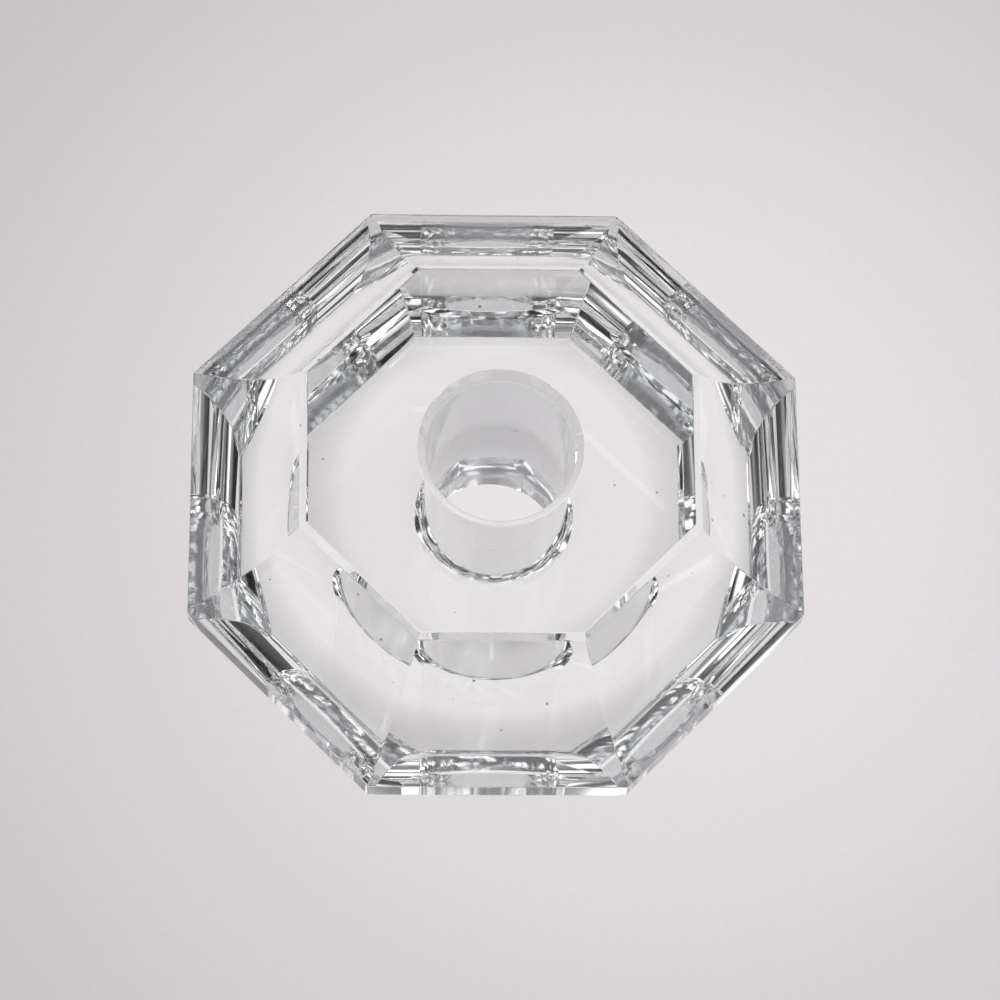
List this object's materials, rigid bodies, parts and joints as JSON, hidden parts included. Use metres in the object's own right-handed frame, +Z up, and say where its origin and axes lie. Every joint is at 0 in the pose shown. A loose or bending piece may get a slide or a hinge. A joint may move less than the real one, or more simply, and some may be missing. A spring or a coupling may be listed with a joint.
{
  "type": "candlestick",
  "caption": "Low octagonal candlestick of clear cut crystal, with hollow-ground facets above and below a polished girdle and a straight bore for a taper candle.",
  "frame": {"origin": "the centre of the flat foot face, where the bore's axis meets the table it stands on", "axes": "+Z up along the bore's axis, +X towards the middle of one of the eight girdle flats"},
  "size_m": [0.095, 0.095, 0.0475],
  "materials": {
    "crown_crystal": "polished",
    "foot_crystal": "polished",
    "clear_adhesive": "clear cured film"
  },
  "bodies": {
    "root": {"foot_block": "foot_crystal", "bond_layer": "clear_adhesive", "crown_block": "crown_crystal"}
  },
  "joints": []
}
